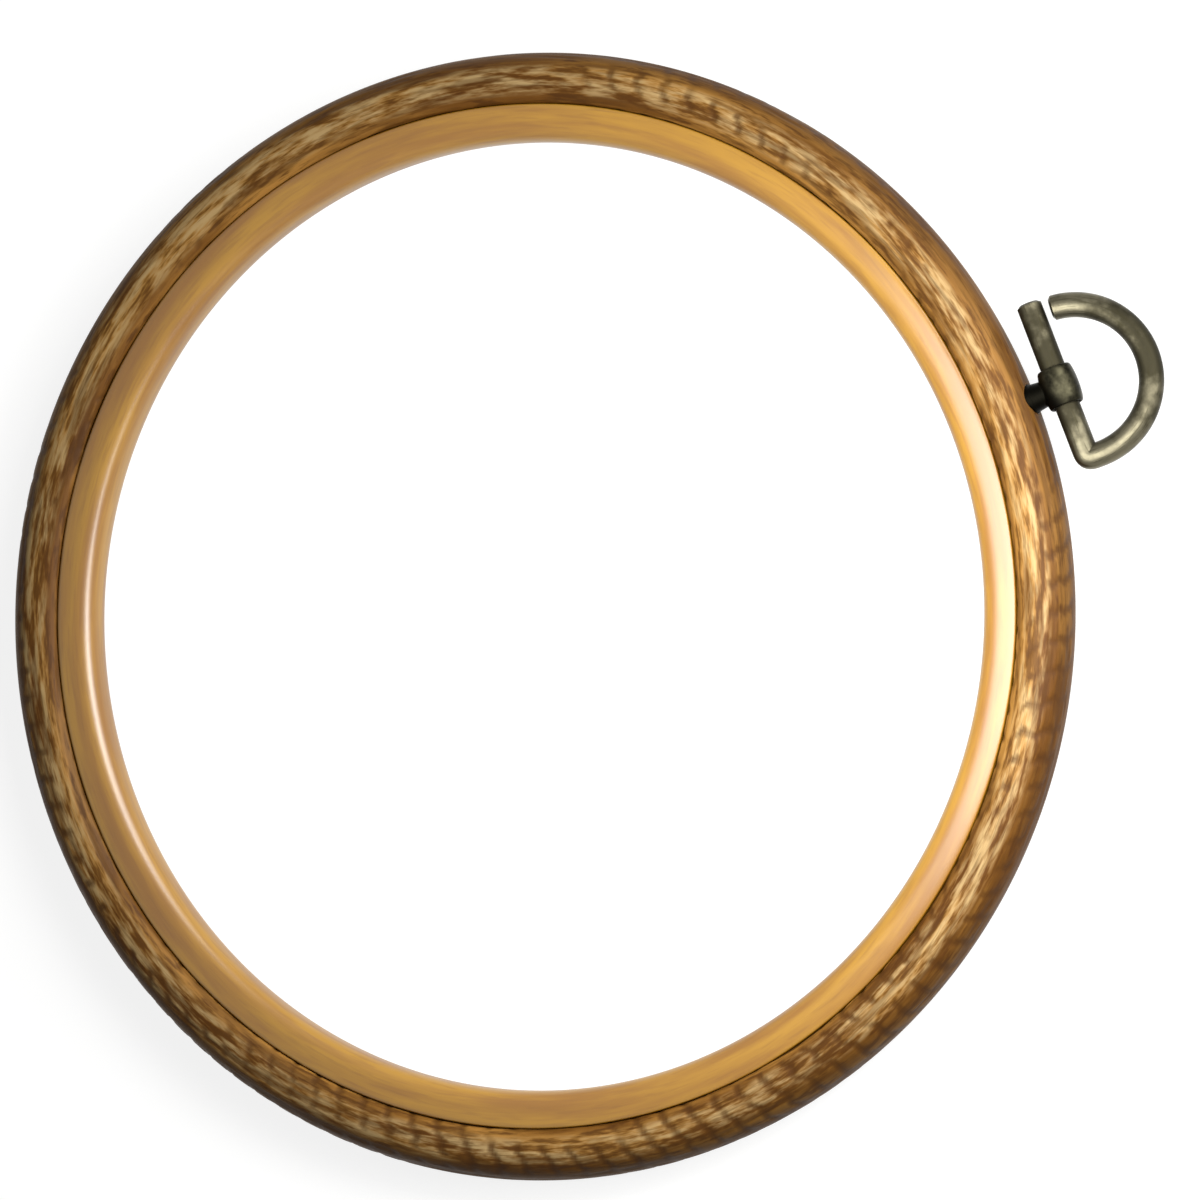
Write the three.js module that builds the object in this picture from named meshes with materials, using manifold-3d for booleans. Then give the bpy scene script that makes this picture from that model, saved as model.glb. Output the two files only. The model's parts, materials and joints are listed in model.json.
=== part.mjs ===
// Round embroidery hoop of the frame kind, lying on its back. A flexible moulded outer ring is
// pressed over a rigid inner ring, a screw eye stands in the outer ring's rim, and a hanging
// loop bent from wire swings in the eye. Millimetres, +Z up, the hanging loop towards +Y.
// The origin is on the surface it lies on, under the middle of the whole length and width.

import * as THREE from 'three';
import { mergeVertices } from 'three/addons/utils/BufferGeometryUtils.js';
import Module from 'manifold-3d';

const wasm = await Module();
wasm.setup();

// Outer ring: a half-round moulding with a flat bore and a flat foot
const OUTER_RADIUS = 54;
const OUTER_RING_WIDTH = 4.7;
const OUTER_RING_DEPTH = 6;
const OUTER_CREST_FROM_RIM = 2.45;
const OUTER_SHOULDER_DROP = 1.7;
const RIM_HEIGHT = 3.1;
const FOOT_FROM_RIM = 1.6;

// Inner ring: a rounded inner face, a straight outer wall and a lip at the back
const INNER_RING_WIDTH = 3.6;
const INNER_RING_DEPTH = 5.2;
const INNER_CREST_FROM_WALL = 1.4;
const INNER_SHOULDER_DROP = 1.3;
const WAIST_HEIGHT = 2.7;
const BACK_FROM_WAIST = 1.5;
const LIP_WIDTH = 1.6;
const LIP_THICKNESS = 1.3;
const LIP_CHAMFER = 0.2;

// Fit of the two rings
const RING_CLEARANCE = 0.3;
const SEAT_CLEARANCE = 0.3;

// Hanging loop: round wire, a straight bar, one tight corner and a half-round bow
const WIRE_DIAMETER = 2.4;
const BOW_WIDTH = 17.6;
const LOOP_LENGTH = 11.3;
const CORNER_RADIUS = 1.3;
const BAR_OVERHANG = 1.1;
const WIRE_JOINT_GAP = 0.6;

// Screw eye: a crowned barrel round the bar, a neck, a collar and a threaded shank
const EYE_WALL = 0.65;
const EYE_WIDTH = 3.8;
const EYE_CROWN = 0.4;
const EYE_FLARE = 0.25;
const EYE_FLARE_DEPTH = 0.4;
const EYE_CLEARANCE = 0.3;
const NECK_HEIGHT = 0.2;
const NECK_DIAMETER = 3.2;
const NECK_TOP_DIAMETER = 2.6;
const COLLAR_DIAMETER = 4.4;
const COLLAR_THICKNESS = 0.8;
const COLLAR_CHAMFER = 0.2;
const COLLAR_SINK = 0.3;
const SHANK_LENGTH = 3.4;
const SHANK_DIAMETER = 2.3;
const THREAD_DEPTH = 0.35;
const THREAD_PITCH = 0.85;
const THREAD_RUNOUT = 0.9;
const HOLE_CLEARANCE = 0.3;

// Number of flats on round surfaces
const RING_SEGMENTS = 96;
const WIRE_SIDES = 12;
const WIRE_STEPS = 72;
const EYE_SEGMENTS = 28;
const STEM_SEGMENTS = 20;
const THREAD_ROWS_PER_TURN = 6;

// Sizes that follow from the ones above
const boreRadius = OUTER_RADIUS - OUTER_RING_WIDTH;
const innerWallRadius = boreRadius - RING_CLEARANCE;
const openingRadius = innerWallRadius - INNER_RING_WIDTH;
const seatHeight = LIP_THICKNESS + SEAT_CLEARANCE;
const lipRadius = innerWallRadius + LIP_WIDTH;
const wireRadius = WIRE_DIAMETER / 2;
const bowRadius = BOW_WIDTH / 2 - wireRadius;
const barToCrown = LOOP_LENGTH - WIRE_DIAMETER;
const eyeBoreRadius = wireRadius + EYE_CLEARANCE;
const eyeRadius = eyeBoreRadius + EYE_WALL;
const collarBase = OUTER_RADIUS - COLLAR_SINK;
const collarTop = collarBase + COLLAR_THICKNESS;
const barDistance = collarTop + NECK_HEIGHT + eyeRadius;
const droop = Math.asin((RIM_HEIGHT - wireRadius) / barToCrown);
const loopReach = barDistance + barToCrown * Math.cos(droop) + wireRadius;

// Points along an elliptical arc in the plane of a profile, angles in degrees
function arc(centreX, centreY, radiusX, radiusY, fromDegrees, toDegrees, steps) {
  const from = THREE.MathUtils.degToRad(fromDegrees);
  const to = THREE.MathUtils.degToRad(toDegrees);
  const clockwise = toDegrees < fromDegrees;
  return new THREE.EllipseCurve(centreX, centreY, radiusX, radiusY, from, to, clockwise).getPoints(steps);
}

// A ring about Z from a closed outline of radius and height
function ringGeometry(outline) {
  const geometry = new THREE.LatheGeometry([...outline, outline[0]], RING_SEGMENTS);
  return geometry.rotateX(Math.PI / 2);
}

// A closed mesh with shared vertices as a solid that can be joined and cut
function solidOf(geometry) {
  const bare = geometry.clone();
  bare.deleteAttribute('normal');
  bare.deleteAttribute('uv');
  const merged = mergeVertices(bare, 1e-4);
  const vertProperties = new Float32Array(merged.attributes.position.array);
  const triVerts = new Uint32Array(merged.index.array);
  return new wasm.Manifold(new wasm.Mesh({ numProp: 3, vertProperties, triVerts }));
}

function geometryOf(solid) {
  const { vertProperties, triVerts } = solid.getMesh();
  const geometry = new THREE.BufferGeometry();
  geometry.setAttribute('position', new THREE.BufferAttribute(new Float32Array(vertProperties), 3));
  geometry.setIndex(new THREE.BufferAttribute(new Uint32Array(triVerts), 1));
  geometry.computeVertexNormals();
  return geometry;
}

// Inner ring, with the flat back that the hoop rests on and the lip that stops the outer ring
function innerRingGeometry() {
  const crestRadius = innerWallRadius - INNER_CREST_FROM_WALL;
  const shoulderHeight = INNER_RING_DEPTH - INNER_SHOULDER_DROP;
  const backRadius = openingRadius + BACK_FROM_WAIST;
  return ringGeometry([
    new THREE.Vector2(lipRadius - LIP_CHAMFER, 0),
    new THREE.Vector2(lipRadius, LIP_CHAMFER),
    new THREE.Vector2(lipRadius, LIP_THICKNESS),
    new THREE.Vector2(innerWallRadius, LIP_THICKNESS),
    ...arc(crestRadius, shoulderHeight, INNER_CREST_FROM_WALL, INNER_SHOULDER_DROP, 0, 90, 4),
    ...arc(crestRadius, WAIST_HEIGHT, crestRadius - openingRadius, INNER_RING_DEPTH - WAIST_HEIGHT,
      90, 180, 6).slice(1),
    ...arc(backRadius, WAIST_HEIGHT, BACK_FROM_WAIST, WAIST_HEIGHT, 180, 270, 4).slice(1),
  ]);
}

// Flat-bottomed recess for the collar and blind hole for the shank, as one cutter
function eyeSeatCutter() {
  const recessFloor = collarBase - HOLE_CLEARANCE;
  const holeFloor = collarBase - SHANK_LENGTH - HOLE_CLEARANCE;
  const recessRadius = COLLAR_DIAMETER / 2 + HOLE_CLEARANCE;
  const holeRadius = SHANK_DIAMETER / 2 + HOLE_CLEARANCE;
  const mouth = OUTER_RADIUS + COLLAR_THICKNESS;
  const cutter = new THREE.LatheGeometry([
    new THREE.Vector2(0, holeFloor),
    new THREE.Vector2(holeRadius, holeFloor),
    new THREE.Vector2(holeRadius, recessFloor),
    new THREE.Vector2(recessRadius, recessFloor),
    new THREE.Vector2(recessRadius, mouth),
    new THREE.Vector2(0, mouth),
  ], STEM_SEGMENTS);
  return cutter.translate(0, 0, RIM_HEIGHT);
}

// Outer ring, its foot level with the inner ring's back and its bore just clear of the wall
function outerRingGeometry() {
  const crestRadius = OUTER_RADIUS - OUTER_CREST_FROM_RIM;
  const shoulderHeight = OUTER_RING_DEPTH - OUTER_SHOULDER_DROP;
  const skirtRadius = lipRadius + RING_CLEARANCE;
  const moulding = ringGeometry([
    ...arc(OUTER_RADIUS - FOOT_FROM_RIM, RIM_HEIGHT, FOOT_FROM_RIM, RIM_HEIGHT, -90, 0, 4),
    ...arc(crestRadius, RIM_HEIGHT, OUTER_CREST_FROM_RIM, OUTER_RING_DEPTH - RIM_HEIGHT,
      0, 90, 6).slice(1),
    ...arc(crestRadius, shoulderHeight, crestRadius - boreRadius, OUTER_SHOULDER_DROP,
      90, 180, 4).slice(1),
    new THREE.Vector2(boreRadius, seatHeight),
    new THREE.Vector2(skirtRadius, seatHeight),
    new THREE.Vector2(skirtRadius, 0),
  ]);
  return geometryOf(solidOf(moulding).subtract(solidOf(eyeSeatCutter())));
}

// Threaded shank: a cylinder whose surface rises and falls along a helix and tapers to a point
function shankGeometry() {
  const rows = Math.round(SHANK_LENGTH / THREAD_PITCH * THREAD_ROWS_PER_TURN);
  const shank = new THREE.CylinderGeometry(1, 1, SHANK_LENGTH, STEM_SEGMENTS, rows);
  const points = shank.attributes.position;
  const crest = SHANK_DIAMETER / 2;
  for (let i = 0; i < points.count; i += 1) {
    const x = points.getX(i);
    const z = points.getZ(i);
    const fromTip = points.getY(i) + SHANK_LENGTH / 2;
    const turn = Math.atan2(x, z) / (2 * Math.PI);
    const phase = fromTip / THREAD_PITCH - turn;
    const rise = 0.5 + 0.5 * Math.cos(2 * Math.PI * phase);
    const taper = Math.min(1, 0.25 + 0.75 * fromTip / THREAD_RUNOUT);
    const radius = (crest - THREAD_DEPTH * (1 - rise)) * taper;
    points.setX(i, x * radius);
    points.setZ(i, z * radius);
  }
  return shank;
}

// Collar and neck, turned about the shank's axis; the neck ends inside the barrel
function collarGeometry() {
  const collarRadius = COLLAR_DIAMETER / 2;
  const overlap = THREAD_PITCH / 2;
  return new THREE.LatheGeometry([
    new THREE.Vector2(0, collarBase - overlap),
    new THREE.Vector2(SHANK_DIAMETER / 2 - THREAD_DEPTH, collarBase - overlap),
    new THREE.Vector2(SHANK_DIAMETER / 2 - THREAD_DEPTH, collarBase),
    new THREE.Vector2(collarRadius - COLLAR_CHAMFER, collarBase),
    new THREE.Vector2(collarRadius, collarBase + COLLAR_CHAMFER),
    new THREE.Vector2(collarRadius, collarTop - COLLAR_CHAMFER),
    new THREE.Vector2(collarRadius - COLLAR_CHAMFER, collarTop),
    new THREE.Vector2(NECK_DIAMETER / 2, collarTop),
    new THREE.Vector2(NECK_TOP_DIAMETER / 2, barDistance - eyeBoreRadius / 2),
    new THREE.Vector2(0, barDistance - eyeBoreRadius / 2),
  ], STEM_SEGMENTS);
}

// Crowned barrel about the bar's line, and the flared bore that goes through it
function barrelGeometry() {
  const half = EYE_WIDTH / 2;
  const crown = new THREE.SplineCurve([
    new THREE.Vector2(eyeRadius - EYE_CROWN, -half),
    new THREE.Vector2(eyeRadius, 0),
    new THREE.Vector2(eyeRadius - EYE_CROWN, half),
  ]).getPoints(6);
  const outline = [new THREE.Vector2(0, -half), ...crown, new THREE.Vector2(0, half)];
  return new THREE.LatheGeometry(outline, EYE_SEGMENTS);
}

function boreGeometry() {
  const half = EYE_WIDTH / 2;
  return new THREE.LatheGeometry([
    new THREE.Vector2(0, -half - EYE_FLARE_DEPTH),
    new THREE.Vector2(eyeBoreRadius + 2 * EYE_FLARE, -half - EYE_FLARE_DEPTH),
    new THREE.Vector2(eyeBoreRadius, -half + EYE_FLARE_DEPTH),
    new THREE.Vector2(eyeBoreRadius, half - EYE_FLARE_DEPTH),
    new THREE.Vector2(eyeBoreRadius + 2 * EYE_FLARE, half + EYE_FLARE_DEPTH),
    new THREE.Vector2(0, half + EYE_FLARE_DEPTH),
  ], EYE_SEGMENTS);
}

// Screw eye in the outer ring's rim, its barrel lying along X round the loop's bar
function screwEyeGeometry() {
  const alongBar = (geometry) => geometry.rotateZ(-Math.PI / 2).translate(0, barDistance, 0);
  const shank = solidOf(shankGeometry().translate(0, collarBase - SHANK_LENGTH / 2, 0));
  const stem = solidOf(collarGeometry());
  const barrel = solidOf(alongBar(barrelGeometry()));
  const bore = solidOf(alongBar(boreGeometry()));
  const eye = geometryOf(shank.add(stem).add(barrel).subtract(bore));
  return eye.translate(0, 0, RIM_HEIGHT);
}

// Centre line of the hanging loop in its own plane: from the bar's cut end along the bar, round
// the tight corner and round the bow, stopping just short of the bar
class LoopLine extends THREE.Curve {
  constructor() {
    super();
    this.bowCentre = barToCrown - bowRadius;
    this.cornerStart = bowRadius - CORNER_RADIUS;
    this.barEnd = -bowRadius - BAR_OVERHANG;
    this.barLength = this.cornerStart - this.barEnd;
    this.cornerLength = CORNER_RADIUS * Math.PI / 2;
    this.bowEnd = Math.asin((wireRadius + WIRE_JOINT_GAP - this.bowCentre) / bowRadius);
    this.bowLength = bowRadius * (Math.PI - this.bowEnd);
    this.total = this.barLength + this.cornerLength + this.bowLength;
  }

  getPoint(t, target = new THREE.Vector3()) {
    let along = t * this.total;
    if (along <= this.barLength) {
      return target.set(this.barEnd + along, 0, 0);
    }
    along -= this.barLength;
    if (along <= this.cornerLength) {
      const turn = along / CORNER_RADIUS;
      const rise = this.bowCentre * (1 - Math.cos(turn));
      return target.set(this.cornerStart + CORNER_RADIUS * Math.sin(turn), rise, 0);
    }
    along -= this.cornerLength;
    const angle = along / bowRadius;
    return target.set(bowRadius * Math.cos(angle), this.bowCentre + bowRadius * Math.sin(angle), 0);
  }
}

function hangingLoopGeometry() {
  const section = new THREE.Shape().absarc(0, 0, wireRadius, 0, 2 * Math.PI);
  return new THREE.ExtrudeGeometry(section, {
    steps: WIRE_STEPS,
    curveSegments: WIRE_SIDES / 2,
    extrudePath: new LoopLine(),
  });
}

// Dull moulded vinyl, glossy rigid plastic, antiqued brass wire and a blackened screw eye
const vinyl = new THREE.MeshStandardMaterial({ color: 0x8c6434, roughness: 0.5, metalness: 0 });
const plastic = new THREE.MeshStandardMaterial({ color: 0xbd8640, roughness: 0.3, metalness: 0 });
const antiqueBrass = new THREE.MeshStandardMaterial({ color: 0x7d7556, roughness: 0.4, metalness: 1 });
const blackened = new THREE.MeshStandardMaterial({ color: 0x33302a, roughness: 0.45, metalness: 1 });

const innerRing = new THREE.Mesh(innerRingGeometry(), plastic);
innerRing.name = 'inner_ring';

const outerRing = new THREE.Mesh(outerRingGeometry(), vinyl);
outerRing.name = 'outer_ring';

const screwEye = new THREE.Mesh(screwEyeGeometry(), blackened);
screwEye.name = 'screw_eye';

// The loop hangs from the eye and its bow rests on the surface that the hoop lies on
const hangingLoop = new THREE.Mesh(hangingLoopGeometry(), antiqueBrass);
hangingLoop.name = 'hanging_loop';
hangingLoop.position.set(0, barDistance, RIM_HEIGHT);
hangingLoop.rotation.x = -droop;

const hoop = new THREE.Group();
hoop.add(innerRing, outerRing, screwEye, hangingLoop);
hoop.position.y = (OUTER_RADIUS - loopReach) / 2;

export default hoop;
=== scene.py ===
import json
import math

import bmesh
import bpy
from mathutils import Matrix, Vector


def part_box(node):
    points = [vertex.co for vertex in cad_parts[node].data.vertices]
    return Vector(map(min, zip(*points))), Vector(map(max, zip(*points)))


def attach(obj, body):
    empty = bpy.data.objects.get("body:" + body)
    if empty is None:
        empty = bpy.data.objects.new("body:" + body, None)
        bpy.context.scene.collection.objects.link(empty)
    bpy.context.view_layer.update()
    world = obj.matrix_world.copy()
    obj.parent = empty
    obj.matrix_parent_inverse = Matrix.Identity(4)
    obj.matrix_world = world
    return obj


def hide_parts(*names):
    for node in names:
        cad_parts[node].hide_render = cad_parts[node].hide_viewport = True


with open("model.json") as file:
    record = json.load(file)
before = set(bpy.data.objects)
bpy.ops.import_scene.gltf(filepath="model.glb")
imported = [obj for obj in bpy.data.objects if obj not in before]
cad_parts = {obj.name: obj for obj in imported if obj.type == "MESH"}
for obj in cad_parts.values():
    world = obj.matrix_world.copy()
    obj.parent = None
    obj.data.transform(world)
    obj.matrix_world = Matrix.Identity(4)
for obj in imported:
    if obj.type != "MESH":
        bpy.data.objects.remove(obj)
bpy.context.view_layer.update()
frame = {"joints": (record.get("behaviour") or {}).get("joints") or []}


# Camera: the photograph looks down on the hoop as it lies on its back, with the hanging loop at
# two o'clock. The camera stands off the rings' axis, towards the picture's right.
mm = 0.001
FRAME_WIDTH = 114.95 * mm
CAMERA_DISTANCE = 1.0
SENSOR_WIDTH = 36
LEAN = math.radians(20.5)
LOOP_BEARING = math.radians(25.75)
ROLL = math.radians(3.7)
AIM_RIGHT = 6.0 * mm
AIM_UP = 1.54 * mm

inner_low, inner_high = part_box("inner_ring")
rings_centre = (inner_low + inner_high) / 2
rings_axis = Vector((0, 0, 1))
towards_right = Vector((math.sin(LOOP_BEARING), math.cos(LOOP_BEARING), 0))
towards_top = rings_axis.cross(towards_right)

line_of_sight = math.cos(LEAN) * rings_axis + math.sin(LEAN) * towards_right
level_right = math.cos(LEAN) * towards_right - math.sin(LEAN) * rings_axis
picture_right = math.cos(ROLL) * level_right + math.sin(ROLL) * towards_top
picture_up = math.cos(ROLL) * towards_top - math.sin(ROLL) * level_right

aim = rings_centre + AIM_RIGHT * picture_right + AIM_UP * picture_up
camera_data = bpy.data.cameras.new("camera")
camera_data.sensor_width = SENSOR_WIDTH
camera_data.lens = SENSOR_WIDTH * CAMERA_DISTANCE / FRAME_WIDTH
camera_data.clip_start = 0.01
camera = bpy.data.objects.new("camera", camera_data)
turn = Matrix((picture_right, picture_up, line_of_sight)).transposed().to_4x4()
camera.matrix_world = Matrix.Translation(aim + CAMERA_DISTANCE * line_of_sight) @ turn
bpy.context.scene.collection.objects.link(camera)
bpy.context.scene.camera = camera
bpy.context.scene.view_settings.view_transform = "Standard"


# Light: one broad lamp low at the picture's right, and a soft panel close above the hoop's right
# side, whose mirror image is the cream sheen on the inner ring. The even sky is weak, so the outer
# side on the left stays dark.
LAMP_BEARING = math.radians(28)
LAMP_HEIGHT = math.radians(30)
LAMP_DISTANCE = 0.45
LAMP_WIDTH = 0.4
LAMP_WATTS = 3.1
PANEL_RIGHT = 54 * mm
PANEL_UP = 7 * mm
PANEL_HEIGHT = 60 * mm
PANEL_WIDTH = 75 * mm
PANEL_LENGTH = 55 * mm
PANEL_AIM = 58 * mm
PANEL_WATTS = 0.12
SKY_STRENGTH = 0.05


def add(tree, kind, sockets=(), out=None, **settings):
    """Adds a node with its settings. Each named or numbered socket takes a value or a link.

    Returns the node's first output, or the one that is named.
    """
    made = tree.nodes.new(kind)
    for name, value in settings.items():
        setattr(made, name, value)
    live = [socket for socket in made.inputs if socket.enabled]
    for name, value in dict(sockets).items():
        by_number = isinstance(name, int)
        socket = live[name] if by_number else next(s for s in live if s.name == name)
        if isinstance(value, bpy.types.NodeSocket):
            tree.links.new(value, socket)
        else:
            socket.default_value = value
    return next((s for s in made.outputs if s.enabled and out in (None, s.name)), None)


def colour(code):
    """A linear colour from sRGB hex."""
    parts = [int(code[i:i + 2], 16) / 255 for i in (1, 3, 5)]
    return [c / 12.92 if c <= 0.04045 else ((c + 0.055) / 1.055) ** 2.4 for c in parts] + [1]


def seen_directly(tree):
    """1 where the camera, a reflection or a clear body looks at the surface, else 0."""
    rays = tree.nodes.new("ShaderNodeLightPath").outputs
    seen = rays["Is Camera Ray"]
    for other in ("Is Glossy Ray", "Is Transmission Ray"):
        seen = add(tree, "ShaderNodeMath", {0: seen, 1: rays[other]}, operation="MAXIMUM")
    return seen


def lamp(name, place, target, width, length, watts):
    """A soft rectangular lamp at a place, turned to a target."""
    data = bpy.data.lights.new(name, "AREA")
    data.shape = "RECTANGLE"
    data.size = width
    data.size_y = length
    data.energy = watts
    away = (place - target).normalized()
    across = towards_top.cross(away).normalized()
    made = bpy.data.objects.new(name, data)
    facing = Matrix((across, away.cross(across), away)).transposed().to_4x4()
    made.matrix_world = Matrix.Translation(place) @ facing
    made.visible_camera = False
    bpy.context.scene.collection.objects.link(made)


lamp_level = math.cos(LAMP_BEARING) * towards_right + math.sin(LAMP_BEARING) * towards_top
lamp_side = math.cos(LAMP_HEIGHT) * lamp_level + math.sin(LAMP_HEIGHT) * rings_axis
lamp_place = rings_centre + LAMP_DISTANCE * lamp_side
lamp("key_lamp", lamp_place, rings_centre, LAMP_WIDTH, LAMP_WIDTH, LAMP_WATTS)
panel_level = rings_centre + PANEL_UP * towards_top
panel_place = panel_level + PANEL_RIGHT * towards_right + PANEL_HEIGHT * rings_axis
panel_target = panel_level + PANEL_AIM * towards_right
lamp("panel", panel_place, panel_target, PANEL_WIDTH, PANEL_LENGTH, PANEL_WATTS)

sky = bpy.data.worlds.new("sky")
bpy.context.scene.world = sky
sky.use_nodes = True
sky.node_tree.nodes.clear()
even = add(sky.node_tree, "ShaderNodeBackground",
           {"Color": colour("#f4f7fb"), "Strength": SKY_STRENGTH})
white = add(sky.node_tree, "ShaderNodeBackground", {"Color": colour("#ffffff"), "Strength": 1})
both = add(sky.node_tree, "ShaderNodeMixShader",
           {"Fac": seen_directly(sky.node_tree), 1: even, 2: white})
add(sky.node_tree, "ShaderNodeOutputWorld", {"Surface": both})


# Table: plain white card, six metres wide. To the lamps it is a mid grey, so that it throws back
# little light and keeps the hoop's shadow, and a glow lifts it to white where it is seen.
TABLE_SIZE = 6.0
CARD_GLOW = 0.86

table_mesh = bpy.data.meshes.new("table")
half = TABLE_SIZE / 2
corners = [(-half, -half, 0), (half, -half, 0), (half, half, 0), (-half, half, 0)]
table_mesh.from_pydata(corners, [], [(0, 1, 2, 3)])
table = bpy.data.objects.new("table", table_mesh)
bpy.context.scene.collection.objects.link(table)

card = bpy.data.materials.new("Matt white card")
card.use_nodes = True
card.node_tree.nodes.clear()
matt = add(card.node_tree, "ShaderNodeBsdfDiffuse", {"Color": colour("#8a8a88")})
lift = add(card.node_tree, "ShaderNodeMath", {0: seen_directly(card.node_tree), 1: CARD_GLOW},
           operation="MULTIPLY")
glow = add(card.node_tree, "ShaderNodeEmission", {"Color": colour("#ffffff"), "Strength": lift})
card_surface = add(card.node_tree, "ShaderNodeAddShader", {0: matt, 1: glow})
add(card.node_tree, "ShaderNodeOutputMaterial", {"Surface": card_surface})
table_mesh.materials.append(card)


# Inner ring: one rigid injection moulding in glossy pale-pine plastic. It lies on its flat back.
# Its straight outer wall holds the fabric, its rounded inner face meets the hand, and the lip at
# its back stops the outer ring.

# Sizes from here on are in millimetres, until settle() turns a finished mesh to metres
INNER_SEGMENTS = 720
INNER_WIDTH = 3.6
CREST_FROM_WALL = 0.9
SHOULDER_DROP = 0.3
FACE_POWER = 0.65
WAIST_HEIGHT = 2.7
BACK_FROM_WAIST = 1.5
LIP_WIDTH = 1.6
LIP_THICKNESS = 1.3
EDGE_ROUND = 0.2
SHARPEST_SMOOTH_EDGE = math.radians(45)
SAME_POINT = 0.001

# The streaks and waves in the plastic: how many times longer than wide they are, and their widths
GRAIN_STRETCH = 12
FLOW_WIDTH = 1.6
THREAD_WIDTH = 0.32
WAVE_WIDTH = 2.4
WAVE_HEIGHT = 0.08

inner_depth = inner_high.z / mm
lip_radius = inner_high.x / mm
wall_radius = lip_radius - LIP_WIDTH
opening_radius = wall_radius - INNER_WIDTH


def arc(across, up, radius_across, radius_up, start, end, steps, power=1.0):
    """Points along an elliptical arc of a section, angles in degrees; a power under 1 squares it."""
    points = []
    for i in range(steps + 1):
        angle = math.radians(start + (end - start) * i / steps)
        cosine, sine = math.cos(angle), math.sin(angle)
        points.append((across + radius_across * math.copysign(abs(cosine) ** power, cosine),
                       up + radius_up * math.copysign(abs(sine) ** power, sine)))
    return points


def section_object(name, outline):
    """A closed section, radius along X and height along Z, with the way travelled along it."""
    mesh = bpy.data.meshes.new(name)
    points = [Vector((across, 0, up)) for across, up in outline + outline[:1]]
    mesh.from_pydata(points, [(i, i + 1) for i in range(len(points) - 1)], [])
    along = mesh.attributes.new("along", "FLOAT", "POINT")
    travelled = 0
    for i, point in enumerate(points):
        travelled += (point - points[max(i - 1, 0)]).length
        along.data[i].value = travelled
    made = bpy.data.objects.new(name, mesh)
    bpy.context.scene.collection.objects.link(made)
    return made


def with_inputs(tree, sockets):
    """Gives a geometry tree its named inputs and one geometry output; returns the inputs' outlets."""
    for name, kind in sockets.items():
        tree.interface.new_socket(name, in_out="INPUT", socket_type=kind)
    tree.interface.new_socket("Geometry", in_out="OUTPUT", socket_type="NodeSocketGeometry")
    return tree.nodes.new("NodeGroupInput").outputs


def run_tree(made, tree, values):
    """Puts a geometry tree on an object and sets its inputs by their identifiers."""
    modifier = made.modifiers.new(tree.name, "NODES")
    modifier.node_group = tree
    for item in tree.interface.items_tree:
        if item.name in values:
            modifier[item.identifier] = values[item.name]


def settle(made):
    """Turns what the modifiers make into a plain mesh in metres, and removes the modifiers."""
    bpy.context.view_layer.update()
    evaluated = made.evaluated_get(bpy.context.evaluated_depsgraph_get())
    mesh = bpy.data.meshes.new_from_object(evaluated)
    made.modifiers.clear()
    made.data = mesh
    mesh.name = made.name
    mesh.transform(Matrix.Scale(mm, 4))
    mesh.shade_smooth()
    mesh.set_sharp_from_angle(angle=SHARPEST_SMOOTH_EDGE)


# The tree that sweeps a section round the rings' axis, on a grid with a column for each step round
# it and a row for each point of the section. The grain coordinate closes on itself: it runs round a
# circle of the grain radius, which is smaller than the ring, and across the moulding at full size.
ring_tree = bpy.data.node_groups.new("Ring swept from its section", "GeometryNodeTree")
given = with_inputs(ring_tree, {
    "Section": "NodeSocketGeometry",
    "Segments": "NodeSocketInt",
    "Centre": "NodeSocketVector",
    "Grain Radius": "NodeSocketFloat",
    "Perimeter": "NodeSocketFloat",
    "Finish": "NodeSocketMaterial",
})
rows = add(ring_tree, "GeometryNodeAttributeDomainSize", {"Geometry": given["Section"]})
columns = add(ring_tree, "ShaderNodeMath", {0: given["Segments"], 1: 1}, operation="ADD")
grid = add(ring_tree, "GeometryNodeMeshGrid", {"Vertices X": columns, "Vertices Y": rows})

# Points are numbered up each column in turn
index = add(ring_tree, "GeometryNodeInputIndex")
middle = add(ring_tree, "ShaderNodeMath", {0: index, 1: 0.5}, operation="ADD")
column = add(ring_tree, "ShaderNodeMath", {0: middle, 1: rows}, operation="DIVIDE")
column = add(ring_tree, "ShaderNodeMath", {0: column}, operation="FLOOR")
passed = add(ring_tree, "ShaderNodeMath", {0: column, 1: rows}, operation="MULTIPLY")
row = add(ring_tree, "ShaderNodeMath", {0: index, 1: passed}, operation="SUBTRACT")

# Each point takes its place from the section and is turned about the axis
turned = add(ring_tree, "ShaderNodeMath", {0: column, 1: given["Segments"]}, operation="DIVIDE")
angle = add(ring_tree, "ShaderNodeMath", {0: turned, 1: 2 * math.pi}, operation="MULTIPLY")
place = add(ring_tree, "GeometryNodeInputPosition")
place = add(ring_tree, "GeometryNodeSampleIndex",
            {"Geometry": given["Section"], "Value": place, "Index": row}, data_type="FLOAT_VECTOR")
place = add(ring_tree, "ShaderNodeVectorRotate", {"Vector": place, "Angle": angle},
            rotation_type="Z_AXIS")
place = add(ring_tree, "ShaderNodeVectorMath", {0: place, 1: given["Centre"]}, operation="ADD")
along = add(ring_tree, "GeometryNodeInputNamedAttribute", {"Name": "along"}, data_type="FLOAT")
along = add(ring_tree, "GeometryNodeSampleIndex",
            {"Geometry": given["Section"], "Value": along, "Index": row}, data_type="FLOAT")
swept = add(ring_tree, "GeometryNodeSetPosition", {"Geometry": grid, "Position": place})

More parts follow.
